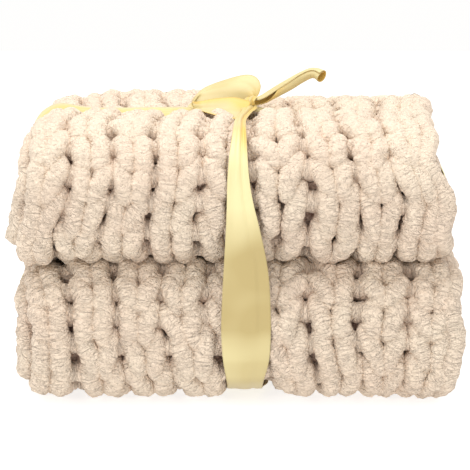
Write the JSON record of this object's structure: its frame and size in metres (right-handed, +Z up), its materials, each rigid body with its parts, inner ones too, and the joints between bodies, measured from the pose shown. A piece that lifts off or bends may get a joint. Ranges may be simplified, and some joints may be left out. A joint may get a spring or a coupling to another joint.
{
  "type": "folded chunky knit blanket",
  "caption": "Blanket of fat knitted chenille yarn, doubled and laid back and forth in runs, tied both ways with a satin ribbon in a half bow.",
  "frame": {"origin": "middle of the base: the centre of the box in X and Y, at its lowest height", "axes": "+Z up, +X along the width of the folded blanket, the rounded front folds face -Y"},
  "size_m": [0.4511, 0.308, 0.3232],
  "materials": {
    "yarn": "matt chenille pile",
    "ribbon": "pale gold satin"
  },
  "bodies": {
    "root": {"blanket": "yarn", "ribbon_band": "ribbon", "ribbon_cross": "ribbon", "knot": "ribbon", "bow_loop": "ribbon", "ribbon_tail": "ribbon"}
  },
  "joints": []
}
